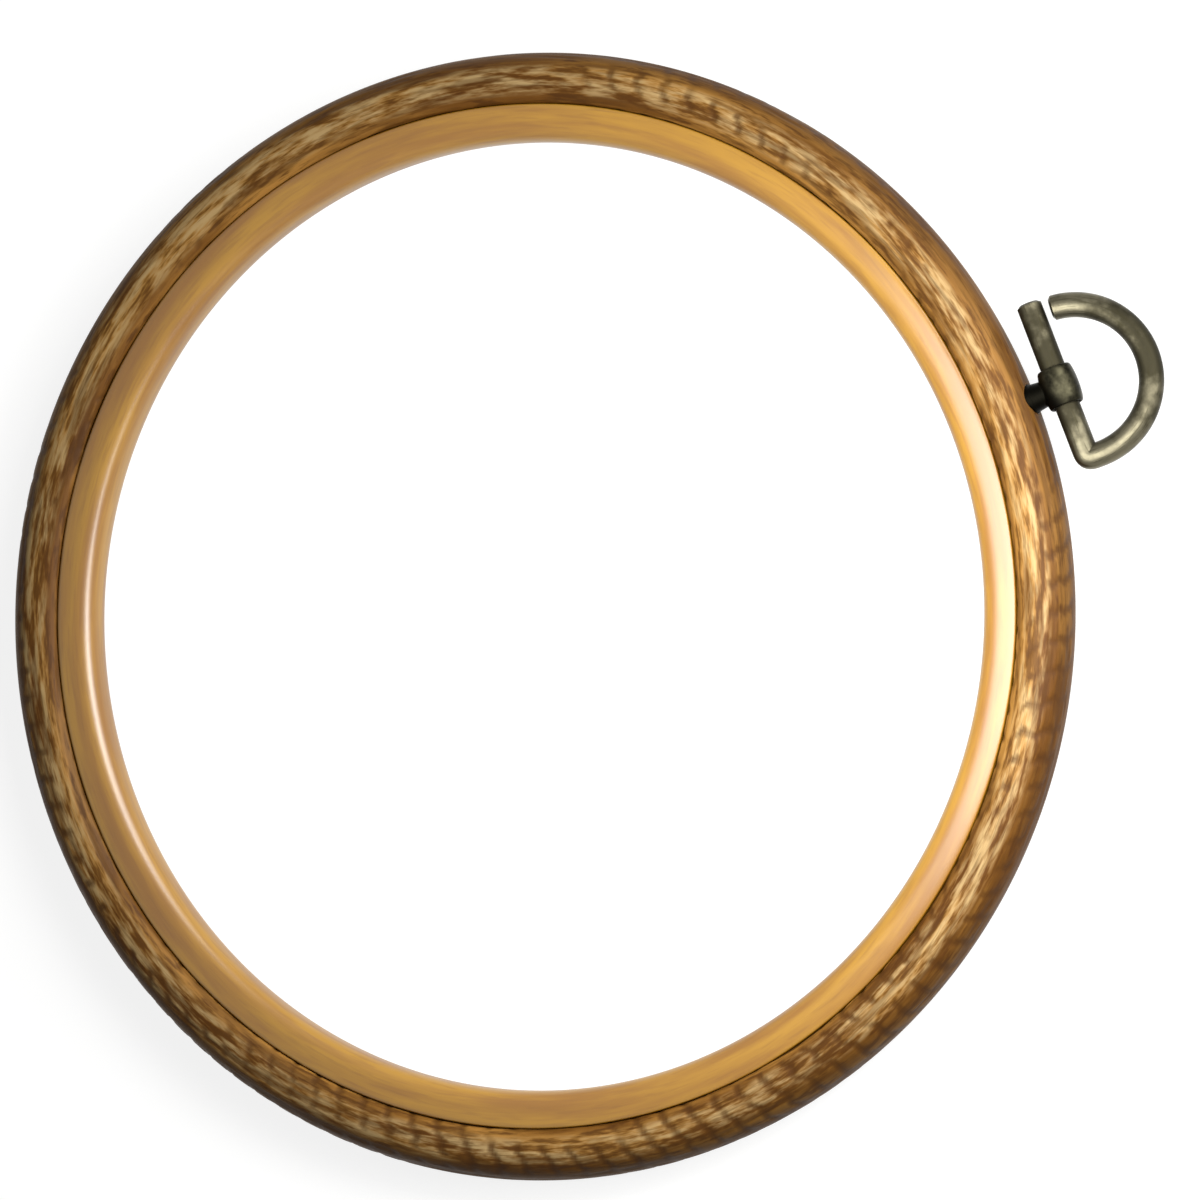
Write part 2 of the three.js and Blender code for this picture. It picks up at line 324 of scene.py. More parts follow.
# The flat map and the grain go with the mesh
across_share = add(ring_tree, "ShaderNodeMath",
                   {0: along, 1: given["Perimeter"]}, operation="DIVIDE")
flat = add(ring_tree, "ShaderNodeCombineXYZ", {"X": turned, "Y": across_share})
flat = add(ring_tree, "GeometryNodeFieldOnDomain", {"Value": flat}, data_type="FLOAT_VECTOR",
           domain="POINT")
swept = add(ring_tree, "GeometryNodeStoreNamedAttribute",
            {"Geometry": swept, "Name": "UVMap", "Value": flat},
            data_type="FLOAT2", domain="CORNER")
cosine = add(ring_tree, "ShaderNodeMath", {0: angle}, operation="COSINE")
sine = add(ring_tree, "ShaderNodeMath", {0: angle}, operation="SINE")
grain_x = add(ring_tree, "ShaderNodeMath",
              {0: cosine, 1: given["Grain Radius"]}, operation="MULTIPLY")
grain_y = add(ring_tree, "ShaderNodeMath",
              {0: sine, 1: given["Grain Radius"]}, operation="MULTIPLY")
grain = add(ring_tree, "ShaderNodeCombineXYZ", {"X": grain_x, "Y": grain_y, "Z": along})
for name, value, kind in (("grain", grain, "FLOAT_VECTOR"), ("turn", turned, "FLOAT"),
                          ("along", along, "FLOAT")):
    swept = add(ring_tree, "GeometryNodeStoreNamedAttribute",
                {"Geometry": swept, "Name": name, "Value": value}, data_type=kind, domain="POINT")

# The last column lies on the first, and the section's last point on its first
swept = add(ring_tree, "GeometryNodeMergeByDistance", {"Geometry": swept, "Distance": SAME_POINT})
swept = add(ring_tree, "GeometryNodeRealizeInstances", {"Geometry": swept})
swept = add(ring_tree, "GeometryNodeSetMaterial", {"Geometry": swept, "Material": given["Finish"]})
add(ring_tree, "NodeGroupOutput", {"Geometry": swept})


def finish(name):
    """A new material; returns it with its node tree and the sockets of its surface."""
    made = bpy.data.materials.new(name)
    made.use_nodes = True
    return made, made.node_tree, made.node_tree.nodes["Principled BSDF"].inputs


# Injection-moulded polystyrene, coloured through. A hard smooth skin from the polished mould, with
# faint flow streaks round the ring and the slight waviness of thick moulded plastic.
pine_plastic, tree, surface = finish("Glossy moulded polystyrene in pale pine")
grain = add(tree, "ShaderNodeAttribute", attribute_name="grain", out="Vector")
flow = add(tree, "ShaderNodeTexNoise",
           {"Vector": grain, "Scale": 1 / FLOW_WIDTH, "Detail": 4.0, "Roughness": 0.55}, out="Fac")
flow = add(tree, "ShaderNodeMapRange",
           {"Value": flow, "From Min": 0.32, "From Max": 0.68}, interpolation_type="SMOOTHSTEP")
tint = add(tree, "ShaderNodeMix", {"Factor": flow, "A": colour("#85580c"), "B": colour("#a17518")},
           data_type="RGBA")
threads = add(tree, "ShaderNodeTexNoise",
              {"Vector": grain, "Scale": 1 / THREAD_WIDTH, "Detail": 2.0, "Roughness": 0.5},
              out="Fac")
threads = add(tree, "ShaderNodeMapRange",
              {"Value": threads, "From Min": 0.5, "From Max": 0.7, "To Max": 0.35},
              interpolation_type="SMOOTHSTEP")
tint = add(tree, "ShaderNodeMix", {"Factor": threads, "A": tint, "B": colour("#774c0a")},
           data_type="RGBA")
tree.links.new(tint, surface["Base Color"])
wave = add(tree, "ShaderNodeTexNoise",
           {"Vector": grain, "Scale": 1 / WAVE_WIDTH, "Detail": 2.0}, out="Fac")
dents = add(tree, "ShaderNodeBump",
            {"Strength": 0.25, "Distance": WAVE_HEIGHT * mm, "Height": wave})
tree.links.new(dents, surface["Normal"])
surface["Roughness"].default_value = 0.34
surface["Specular IOR Level"].default_value = 0.8
surface["IOR"].default_value = 1.55

crest_radius = wall_radius - CREST_FROM_WALL
back_radius = opening_radius + BACK_FROM_WAIST

# The section, from the foot of the lip up to the wall, over the crest and down the inner face
inner_outline = [
    *arc(lip_radius - EDGE_ROUND, EDGE_ROUND, EDGE_ROUND, EDGE_ROUND, -90, 0, steps=4),
    *arc(lip_radius - EDGE_ROUND, LIP_THICKNESS - EDGE_ROUND, EDGE_ROUND, EDGE_ROUND,
         0, 90, steps=4),
    *arc(wall_radius + EDGE_ROUND, LIP_THICKNESS + EDGE_ROUND, EDGE_ROUND, EDGE_ROUND,
         -90, -180, steps=4),
    *arc(crest_radius, inner_depth - SHOULDER_DROP, CREST_FROM_WALL, SHOULDER_DROP,
         0, 90, steps=16, power=FACE_POWER),
    *arc(crest_radius, WAIST_HEIGHT, crest_radius - opening_radius, inner_depth - WAIST_HEIGHT,
         90, 180, steps=28, power=FACE_POWER)[1:],
    *arc(back_radius, WAIST_HEIGHT, BACK_FROM_WAIST, WAIST_HEIGHT, 180, 270, steps=18)[1:],
]
inner_ring = section_object("inner_ring_moulding", inner_outline)
run_tree(inner_ring, ring_tree, {
    "Segments": INNER_SEGMENTS,
    "Centre": rings_centre * Vector((1, 1, 0)) / mm,
    "Grain Radius": opening_radius / GRAIN_STRETCH,
    "Perimeter": inner_ring.data.attributes["along"].data[-1].value,
    "Finish": pine_plastic,
})
settle(inner_ring)
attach(inner_ring, "inner_ring")
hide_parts("inner_ring")


# Outer ring: a half-round moulding in flexible vinyl, pressed over the inner ring. Its wood grain
# is embossed by the mould and picked out by a brown stain. Its crest is painted paler, partly as worn
# stain and partly as painted sheen, and its outer side darker, partly stain and partly painted shade.
OUTER_SEGMENTS = 960
PRESSED_GAP = 0.05
CREST_FROM_RIM = 2.45
OUTER_SHOULDER_DROP = 1.3
RIM_HEIGHT = 3.1
FOOT_FROM_RIM = 1.6
RING_CLEARANCE = 0.3
SEAT_HEIGHT = 1.6
COLLAR_DIAMETER = 2.9
COLLAR_SINK = 0.6
SHANK_DIAMETER = 2.3
HOLE_CLEARANCE = 0.3
SEAT_GAP = 0.05
SEAT_SIDES = 96

# The relief: pores along the grain, and slanting strokes across it that wander and come in patches
EMBOSS_DEPTH = 0.08
EMBOSS_FADE = 1.2
PORE_WIDTH = 0.9
STROKES_ROUND = 120
STROKE_SLANT = 0.9
STROKE_WANDER = 5.0
WANDER_WIDTH = 1.5
PATCH_WIDTH = 1.8
BOLDEST_STROKES = math.radians(14)
EXTRA_BOLDNESS = 0.1

# The colouring: streaks, flecks and fine lines, a paler crest down to two depths (worn stain and
# painted sheen), a darker side (stain and painted shade), and the grain of the skin
STREAK_WIDTH = 2.2
FLECK_WIDTH = 0.6
FLECK_SHORTENING = 1.8
FINE_LINE_WIDTH = 0.3
PALE_CREST_FROM_DEPTH = 0.5
PALEST_CREST_FROM_DEPTH = 0.05
# The outer side is darkened towards the rim, partly as stain and partly as painted shade
SIDE_DARKENS_FROM_CREST = 0.6
SIDE_DARKEST_TO_RIM = 0.3
SIDE_STAIN_AND_SHADE = 0.5
HOLLOW_STAIN = 0.75
SKIN_GRAIN = 0.2
SKIN_RELIEF = 0.03

outer_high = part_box("outer_ring")[1]
outer_radius = outer_high.x / mm
outer_depth = outer_high.z / mm
bore_radius = wall_radius + PRESSED_GAP
outer_crest = outer_radius - CREST_FROM_RIM
skirt_radius = lip_radius + RING_CLEARANCE

# The tree that presses the grain into the ring. Below the step that sits on the inner ring's lip
# the moulding stays smooth, and above it the relief fades in.
emboss_tree = bpy.data.node_groups.new("Embossed wood grain", "GeometryNodeTree")
given = with_inputs(emboss_tree, {
    "Ring": "NodeSocketGeometry",
    "Depth": "NodeSocketFloat",
    "Strokes Round": "NodeSocketInt",
    "Slant": "NodeSocketFloat",
    "Boldest": "NodeSocketFloat",
    "Lowest": "NodeSocketFloat",
    "Fade": "NodeSocketFloat",
    "Finish": "NodeSocketMaterial",
})
grain = add(emboss_tree, "GeometryNodeInputNamedAttribute",
            {"Name": "grain"}, data_type="FLOAT_VECTOR")
turned = add(emboss_tree, "GeometryNodeInputNamedAttribute", {"Name": "turn"}, data_type="FLOAT")
along = add(emboss_tree, "GeometryNodeInputNamedAttribute", {"Name": "along"}, data_type="FLOAT")

# Pores are short hollows along the grain
pores = add(emboss_tree, "ShaderNodeTexNoise",
            {"Vector": grain, "Scale": 1 / PORE_WIDTH, "Detail": 2.0, "Roughness": 0.5}, out="Fac")
pores = add(emboss_tree, "ShaderNodeMapRange",
            {"Value": pores, "From Min": 0.52, "From Max": 0.64, "To Max": 0.7},
            interpolation_type="SMOOTHSTEP")

# Strokes are the crests of a wave that runs round the ring, slanted and made to wander
phase = add(emboss_tree, "ShaderNodeMath",
            {0: turned, 1: given["Strokes Round"]}, operation="MULTIPLY")
phase = add(emboss_tree, "ShaderNodeMath", {0: phase, 1: 2 * math.pi}, operation="MULTIPLY")
lean = add(emboss_tree, "ShaderNodeMath", {0: along, 1: given["Slant"]}, operation="MULTIPLY")
phase = add(emboss_tree, "ShaderNodeMath", {0: phase, 1: lean}, operation="ADD")
wander = add(emboss_tree, "ShaderNodeTexNoise",
             {"Vector": grain, "Scale": 1 / WANDER_WIDTH, "Detail": 1.0}, out="Fac")
wander = add(emboss_tree, "ShaderNodeMath", {0: wander, 1: STROKE_WANDER}, operation="MULTIPLY")
phase = add(emboss_tree, "ShaderNodeMath", {0: phase, 1: wander}, operation="ADD")
strokes = add(emboss_tree, "ShaderNodeMath", {0: phase}, operation="COSINE")
strokes = add(emboss_tree, "ShaderNodeMapRange",
              {"Value": strokes, "From Min": 0.25, "From Max": 0.95}, interpolation_type="SMOOTHSTEP")

# They show in patches, which are larger towards the place of the boldest ones
round_ring = add(emboss_tree, "ShaderNodeMath", {0: turned, 1: 2 * math.pi}, operation="MULTIPLY")
from_boldest = add(emboss_tree, "ShaderNodeMath",
                   {0: round_ring, 1: given["Boldest"]}, operation="SUBTRACT")
bold = add(emboss_tree, "ShaderNodeMath", {0: from_boldest}, operation="COSINE")
bold = add(emboss_tree, "ShaderNodeMath", {0: bold, 1: EXTRA_BOLDNESS}, operation="MULTIPLY")
patches = add(emboss_tree, "ShaderNodeTexNoise",
              {"Vector": grain, "Scale": 1 / PATCH_WIDTH, "Detail": 1.0}, out="Fac")
patches = add(emboss_tree, "ShaderNodeMath", {0: patches, 1: bold}, operation="ADD")
patches = add(emboss_tree, "ShaderNodeMapRange",
              {"Value": patches, "From Min": 0.44, "From Max": 0.6}, interpolation_type="SMOOTHSTEP")
strokes = add(emboss_tree, "ShaderNodeMath", {0: strokes, 1: patches}, operation="MULTIPLY")

# Strokes go down to the full depth and pores not quite, against the surface's normal
hollow = add(emboss_tree, "ShaderNodeMath", {0: pores, 1: strokes}, operation="MAXIMUM")
place = add(emboss_tree, "GeometryNodeInputPosition")
height = add(emboss_tree, "ShaderNodeSeparateXYZ", {"Vector": place}, out="Z")
shown = add(emboss_tree, "ShaderNodeMath", {0: height, 1: given["Lowest"]}, operation="SUBTRACT")
shown = add(emboss_tree, "ShaderNodeMapRange",
            {"Value": shown, "From Max": given["Fade"]}, interpolation_type="SMOOTHSTEP")
hollow = add(emboss_tree, "ShaderNodeMath", {0: hollow, 1: shown}, operation="MULTIPLY")
sink = add(emboss_tree, "ShaderNodeMath", {0: hollow, 1: given["Depth"]}, operation="MULTIPLY")
sink = add(emboss_tree, "ShaderNodeMath", {0: sink, 1: -1}, operation="MULTIPLY")
facing = add(emboss_tree, "GeometryNodeInputNormal")
sink = add(emboss_tree, "ShaderNodeVectorMath", {0: facing, "Scale": sink}, operation="SCALE")
embossed = add(emboss_tree, "GeometryNodeStoreNamedAttribute",
               {"Geometry": given["Ring"], "Name": "hollow", "Value": hollow}, data_type="FLOAT")
embossed = add(emboss_tree, "GeometryNodeSetPosition", {"Geometry": embossed, "Offset": sink})
embossed = add(emboss_tree, "GeometryNodeRealizeInstances", {"Geometry": embossed})
embossed = add(emboss_tree, "GeometryNodeSetMaterial",
               {"Geometry": embossed, "Material": given["Finish"]})
add(emboss_tree, "NodeGroupOutput", {"Geometry": embossed})

# Moulded soft PVC with an embossed grain. A matt-satin skin, mid brown with darker streaks and
# flecks round the ring; the dark stain stays in the hollows. Down the outer side it is darker, partly
# stain and partly painted shade, and pale flecks on the crest are partly wear and partly painted
# sheen.
grained_vinyl, tree, surface = finish("Embossed wood-grain vinyl")
grain = add(tree, "ShaderNodeAttribute", attribute_name="grain", out="Vector")
broad = add(tree, "ShaderNodeTexNoise",
            {"Vector": grain, "Scale": 1 / STREAK_WIDTH, "Detail": 4.0, "Roughness": 0.6}, out="Fac")
broad = add(tree, "ShaderNodeMapRange",
            {"Value": broad, "From Min": 0.36, "From Max": 0.64}, interpolation_type="SMOOTHSTEP")
tint = add(tree, "ShaderNodeMix", {"Factor": broad, "A": colour("#603c11"), "B": colour("#92682f")},
           data_type="RGBA")
short_grain = add(tree, "ShaderNodeVectorMath",
                  {0: grain, 1: (FLECK_SHORTENING, FLECK_SHORTENING, 1)}, operation="MULTIPLY")
flecks = add(tree, "ShaderNodeTexNoise",
             {"Vector": short_grain, "Scale": 1 / FLECK_WIDTH, "Detail": 3.0, "Roughness": 0.6},
             out="Fac")
dark = add(tree, "ShaderNodeMapRange",
           {"Value": flecks, "From Min": 0.5, "From Max": 0.34, "To Max": 0.75},
           interpolation_type="SMOOTHSTEP")
tint = add(tree, "ShaderNodeMix", {"Factor": dark, "A": tint, "B": colour("#402305")},
           data_type="RGBA")
# Pale flecks, shown only near the top of the crest: partly worn-off stain, partly a painted highlight
# (sheen)
pale = add(tree, "ShaderNodeMapRange",
           {"Value": flecks, "From Min": 0.4, "From Max": 0.66, "To Max": 0.78},
           interpolation_type="SMOOTHSTEP")
place = add(tree, "ShaderNodeTexCoord", out="Object")
height = add(tree, "ShaderNodeSeparateXYZ", {"Vector": place}, out="Z")
crest_wear_and_sheen = add(tree, "ShaderNodeMapRange",
            {"Value": height, "From Min": (outer_depth - PALE_CREST_FROM_DEPTH) * mm,
             "From Max": (outer_depth - PALEST_CREST_FROM_DEPTH) * mm}, interpolation_type="SMOOTHSTEP")
pale = add(tree, "ShaderNodeMath", {0: pale, 1: crest_wear_and_sheen}, operation="MULTIPLY")
tint = add(tree, "ShaderNodeMix", {"Factor": pale, "A": tint, "B": colour("#ad9365")},
           data_type="RGBA")
fine = add(tree, "ShaderNodeTexNoise",
           {"Vector": grain, "Scale": 1 / FINE_LINE_WIDTH, "Detail": 3.0, "Roughness": 0.6},
           out="Fac")
fine = add(tree, "ShaderNodeMapRange",
           {"Value": fine, "From Min": 0.5, "From Max": 0.66, "To Max": 0.5},
           interpolation_type="SMOOTHSTEP")
tint = add(tree, "ShaderNodeMix", {"Factor": fine, "A": tint, "B": colour("#4b2e0b")},
           data_type="RGBA")
hollow = add(tree, "ShaderNodeAttribute", attribute_name="hollow", out="Fac")
hollow = add(tree, "ShaderNodeMath", {0: hollow, 1: HOLLOW_STAIN}, operation="MULTIPLY")
tint = add(tree, "ShaderNodeMix", {"Factor": hollow, "A": tint, "B": colour("#422608")},
           data_type="RGBA")
# Darker towards the outer rim: partly stain, partly painted shade on the outer side
from_axis = add(tree, "ShaderNodeVectorMath", {0: place, 1: rings_centre}, operation="SUBTRACT")
from_axis = add(tree, "ShaderNodeVectorMath", {0: from_axis, 1: (1, 1, 0)}, operation="MULTIPLY")
from_axis = add(tree, "ShaderNodeVectorMath", {0: from_axis}, operation="LENGTH", out="Value")
side_stain_and_shade = add(tree, "ShaderNodeMapRange",
           {"Value": from_axis, "From Min": (outer_crest + SIDE_DARKENS_FROM_CREST) * mm,
            "From Max": (outer_radius - SIDE_DARKEST_TO_RIM) * mm, "To Max": SIDE_STAIN_AND_SHADE},
           interpolation_type="SMOOTHSTEP")
tint = add(tree, "ShaderNodeMix", {"Factor": side_stain_and_shade, "A": tint, "B": colour("#341c03")},
           data_type="RGBA")
tree.links.new(tint, surface["Base Color"])
skin = add(tree, "ShaderNodeTexNoise",
           {"Vector": grain, "Scale": 1 / SKIN_GRAIN, "Detail": 2.0}, out="Fac")
skin = add(tree, "ShaderNodeBump",
           {"Strength": 0.5, "Distance": SKIN_RELIEF * mm, "Height": skin})
tree.links.new(skin, surface["Normal"])
surface["Roughness"].default_value = 0.5
surface["IOR"].default_value = 1.5
surface["Specular IOR Level"].default_value = 0.12

# The section, from the foot out to the rim, over the crest, down the bore, and round the step and
# the skirt that go over the inner ring's lip
outer_outline = [
    *arc(outer_radius - FOOT_FROM_RIM, RIM_HEIGHT, FOOT_FROM_RIM, RIM_HEIGHT, -90, 0, steps=14),
    *arc(outer_crest, RIM_HEIGHT, CREST_FROM_RIM, outer_depth - RIM_HEIGHT, 0, 90, steps=28)[1:],
    *arc(outer_crest, outer_depth - OUTER_SHOULDER_DROP, outer_crest - bore_radius,
         OUTER_SHOULDER_DROP, 90, 180, steps=22)[1:],
    *arc(bore_radius + EDGE_ROUND, SEAT_HEIGHT + EDGE_ROUND, EDGE_ROUND, EDGE_ROUND,
         180, 270, steps=3),
    *arc(skirt_radius - EDGE_ROUND, SEAT_HEIGHT - EDGE_ROUND, EDGE_ROUND, EDGE_ROUND,
         90, 0, steps=3),
    *arc(skirt_radius + EDGE_ROUND, EDGE_ROUND, EDGE_ROUND, EDGE_ROUND, 180, 270, steps=3),
]
outer_ring = section_object("outer_ring_moulding", outer_outline)
run_tree(outer_ring, ring_tree, {
    "Segments": OUTER_SEGMENTS,
    "Centre": rings_centre * Vector((1, 1, 0)) / mm,
    "Grain Radius": outer_crest / GRAIN_STRETCH,
    "Perimeter": outer_ring.data.attributes["along"].data[-1].value,
    "Finish": grained_vinyl,
})
run_tree(outer_ring, emboss_tree, {
    "Depth": EMBOSS_DEPTH,
    "Strokes Round": STROKES_ROUND,
    "Slant": STROKE_SLANT,
    "Boldest": BOLDEST_STROKES,
    "Lowest": SEAT_HEIGHT,
    "Fade": EMBOSS_FADE,
    "Finish": grained_vinyl,
})

# The screw eye's seat: a round recess for its collar and a blind hole for its shank, drilled
# square into the rim
eye_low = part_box("screw_eye")[0]
rim_middle = Vector((rings_centre.x / mm, rings_centre.y / mm, RIM_HEIGHT))
out_of_rim = Matrix.Translation(rim_middle) @ Matrix.Rotation(-math.pi / 2, 4, "X")
shank_tip = (eye_low.y - rings_centre.y) / mm
collar_base = outer_radius - COLLAR_SINK


def turned_solid(name, stations, sides, thread=None):
    """A closed solid in millimetres, turned about Z through stations of radius and height."""
    made = bmesh.new()
    rings = []
    for radius, height in stations:
        ring = []
        for i in range(sides):
            angle = 2 * math.pi * i / sides
            reach = radius - thread(angle, height) if thread else radius
            ring.append(made.verts.new((reach * math.cos(angle), reach * math.sin(angle), height)))
        rings.append(ring)
    for lower, upper in zip(rings, rings[1:]):
        for i in range(sides):
            made.faces.new((lower[i - 1], lower[i], upper[i], upper[i - 1]))
    made.faces.new(reversed(rings[0]))
    made.faces.new(rings[-1])
    mesh = bpy.data.meshes.new(name)
    made.to_mesh(mesh)
    made.free()
    solid = bpy.data.objects.new(name, mesh)
    bpy.context.scene.collection.objects.link(solid)
    return solid


seat_floor = collar_base - SEAT_GAP
seat_radius = COLLAR_DIAMETER / 2 + SEAT_GAP
hole_radius = SHANK_DIAMETER / 2 + HOLE_CLEARANCE
seat_cutter = turned_solid("eye_seat_cutter", [
    (hole_radius, shank_tip - HOLE_CLEARANCE),
    (hole_radius, seat_floor),
    (seat_radius, seat_floor),
    (seat_radius, outer_radius + HOLE_CLEARANCE),
], SEAT_SIDES)
seat_cutter.data.transform(out_of_rim)
drill = outer_ring.modifiers.new("eye seat", "BOOLEAN")
drill.operation = "DIFFERENCE"
drill.object = seat_cutter
settle(outer_ring)
bpy.data.objects.remove(seat_cutter)
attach(outer_ring, "outer_ring")
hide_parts("outer_ring")


# Screw eye: one piece of steel, a crowned barrel on a neck, a collar and a threaded shank. It is
# oil-blackened and screwed into the outer ring's rim, and the bar of the hanging loop runs in it.
WIRE_DIAMETER = 2.4
EYE_CLEARANCE = 0.12
EYE_WALL = 0.5
EYE_WIDTH = 3.8
EYE_CROWN = 0.3
EYE_CROWN_STEP = 15
EYE_FLARE = 0.15
EYE_FLARE_DEPTH = 0.4
NECK_DIAMETER = 2.7
NECK_TOP_DIAMETER = 2.4
NECK_TO_BORE = 0.08
COLLAR_THICKNESS = 0.8
COLLAR_CHAMFER = 0.2
THREAD_DEPTH = 0.35
THREAD_PITCH = 0.85
THREAD_RUNOUT = 0.9
TIP_SHARE = 0.25
STATIONS_PER_TURN = 16
EYE_SIDES = 96
REMESH_SIZE = 0.065
SMOOTHING_STEPS = 3

# The rubbed patches, which grow along a direction out from the bar, the painted shade towards the
# neck, and the pits in the skin
RUBBED_WIDTH = 1.1
SHADE_TO_RUB_SIDE = (-0.5, 0.87, 0)
SHADE_TO_RUB_START = -1.4
SHADE_TO_RUB_END = 0.9
PIT_WIDTH = 0.18
PIT_DEPTH = 0.02

swing = next(joint for joint in frame["joints"] if joint["name"] == "hanging_loop_swing")
bar_place = Vector(swing["pos_m"]) / mm
bar_distance = bar_place.y - rim_middle.y
wire_radius = WIRE_DIAMETER / 2
eye_bore_radius = wire_radius + EYE_CLEARANCE
eye_radius = eye_bore_radius + EYE_WALL
collar_top = collar_base + COLLAR_THICKNESS


def thread_drop(angle, height):
    """How deep the thread lies under the shank's crest, or nothing above the shank."""
    if height >= collar_base:
        return 0
    turns = (height - shank_tip) / THREAD_PITCH - angle / (2 * math.pi)
    return THREAD_DEPTH * (0.5 - 0.5 * math.cos(2 * math.pi * turns))


thread_turns = (collar_base - shank_tip) / THREAD_PITCH
shank_stations = []
for i in range(math.ceil(thread_turns * STATIONS_PER_TURN)):
    height = shank_tip + i * THREAD_PITCH / STATIONS_PER_TURN
    taper = min(1, TIP_SHARE + (1 - TIP_SHARE) * (height - shank_tip) / THREAD_RUNOUT)
    shank_stations.append((THREAD_DEPTH + (SHANK_DIAMETER / 2 - THREAD_DEPTH) * taper, height))
collar_radius = COLLAR_DIAMETER / 2

# Shank, collar and neck, turned about the axis of the hole
screw_eye = turned_solid("screw_eye_blackened", [
    *shank_stations,
    (SHANK_DIAMETER / 2, collar_base),
    *arc(collar_radius - COLLAR_CHAMFER, collar_base + COLLAR_CHAMFER,
         COLLAR_CHAMFER, COLLAR_CHAMFER, -90, 0, steps=4),
    *arc(collar_radius - COLLAR_CHAMFER, collar_top - COLLAR_CHAMFER,
         COLLAR_CHAMFER, COLLAR_CHAMFER, 0, 90, steps=4),
    (NECK_DIAMETER / 2, collar_top),
    (NECK_TOP_DIAMETER / 2, bar_distance - eye_bore_radius - NECK_TO_BORE),
], EYE_SIDES, thread_drop)
screw_eye.data.transform(out_of_rim)

# The barrel's section: a flared bore inside, flat ends, and a crown outside
half_width = EYE_WIDTH / 2
crown_radius = eye_radius - EYE_CROWN
barrel_outline = [
    (eye_bore_radius, half_width - EYE_FLARE_DEPTH),
    (eye_bore_radius + EYE_FLARE, half_width),
    (crown_radius, half_width),
    *[(crown_radius + EYE_CROWN * math.cos(math.radians(a)), half_width * math.sin(math.radians(a)))
      for a in range(90 - EYE_CROWN_STEP, -90, -EYE_CROWN_STEP)],
    (crown_radius, -half_width),
    (eye_bore_radius + EYE_FLARE, -half_width),
    (eye_bore_radius, EYE_FLARE_DEPTH - half_width),
]

# Steel blackened in hot oil: a dull near-black skin, rubbed to olive in patches. Towards the neck and
# on one side of the barrel the patches are held back, so it stays black there as painted shade.
black_steel, tree, surface = finish("Oil-blackened steel")
place = add(tree, "ShaderNodeTexCoord", out="Object")
rubbed = add(tree, "ShaderNodeTexNoise",
             {"Vector": place, "Scale": 1 / (RUBBED_WIDTH * mm), "Detail": 3.0, "Roughness": 0.55},
             out="Fac")
rubbed = add(tree, "ShaderNodeMapRange", {"Value": rubbed, "From Min": 0.2, "From Max": 0.8},
             interpolation_type="SMOOTHSTEP")
# Painted shade: the skin is kept black towards the neck and one side of the barrel, where rubbing is
# held back
from_bar = add(tree, "ShaderNodeVectorMath", {0: place, 1: bar_place * mm}, operation="SUBTRACT")
outward = add(tree, "ShaderNodeVectorMath",
              {0: from_bar, 1: SHADE_TO_RUB_SIDE}, operation="DOT_PRODUCT", out="Value")
shade_to_rub = add(tree, "ShaderNodeMapRange",
              {"Value": outward, "From Min": SHADE_TO_RUB_START * mm, "From Max": SHADE_TO_RUB_END * mm},
              interpolation_type="SMOOTHSTEP")
rubbed = add(tree, "ShaderNodeMath", {0: rubbed, 1: shade_to_rub}, operation="MULTIPLY")
tint = add(tree, "ShaderNodeMix", {"Factor": rubbed, "A": colour("#0b0a07"), "B": colour("#434031")},
           data_type="RGBA")
tree.links.new(tint, surface["Base Color"])
dull = add(tree, "ShaderNodeMapRange", {"Value": rubbed, "To Min": 0.5, "To Max": 0.34})
tree.links.new(dull, surface["Roughness"])
pits = add(tree, "ShaderNodeTexNoise",
           {"Vector": place, "Scale": 1 / (PIT_WIDTH * mm), "Detail": 2.0}, out="Fac")
pits = add(tree, "ShaderNodeBump", {"Strength": 0.4, "Distance": PIT_DEPTH * mm, "Height": pits})
tree.links.new(pits, surface["Normal"])
surface["Metallic"].default_value = 1.0

barrel = section_object("screw_eye_barrel", barrel_outline)
run_tree(barrel, ring_tree, {
    "Segments": EYE_SIDES,
    "Grain Radius": eye_radius,
    "Perimeter": barrel.data.attributes["along"].data[-1].value,
    "Finish": black_steel,
})
barrel.matrix_world = Matrix.Translation(bar_place) @ Matrix.Rotation(math.pi / 2, 4, "Y")

# The barrel is welded to the neck, and one even skin over both eases the joint and the edges
screw_eye.data.materials.append(black_steel)
weld = screw_eye.modifiers.new("barrel on neck", "BOOLEAN")
weld.operation = "UNION"
weld.object = barrel
skin = screw_eye.modifiers.new("even skin", "REMESH")
skin.mode = "VOXEL"
skin.voxel_size = REMESH_SIZE
ease = screw_eye.modifiers.new("eased edges", "SMOOTH")
ease.iterations = SMOOTHING_STEPS
settle(screw_eye)
bpy.data.objects.remove(barrel)
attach(screw_eye, "outer_ring")
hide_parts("screw_eye")


# Hanging loop: one length of drawn brass wire bent into a D, with a tight corner at one end of its
# bar and an open joint at the other. It is darkened with acid, wiped, and swings in the screw eye.
BOW_WIDTH = 17.0
LOOP_LENGTH = 11.1
CORNER_RADIUS = 1.2
CORNER_POWER = 0.4
BAR_OVERHANG = 1.2
WIRE_JOINT_GAP = 0.6
CUT_CHAMFER = 0.25
CUT_GIRTH = 0.75
WIRE_SIDES = 36
WIRE_STEPS = 360

# The film's patches, and where the film and painted shade are darkest along the wire, from the bar's
# cut end
FILM_WIDTH = 3.2
DARKEST_ALONG_WIRE = 6.5
SWING_PERIOD = 22.0
FILM_AND_LIGHT_SWING = 0.15
BAR_END = 16.0
BAR_FADE = 1
BAR_FILM_AND_SHADE = 0.1

# The lines that the drawing die leaves along the wire
DIE_LINE_WIDTH = 0.16
DIE_LINE_STRETCH = 12.0
DIE_LINE_DEPTH = 0.02

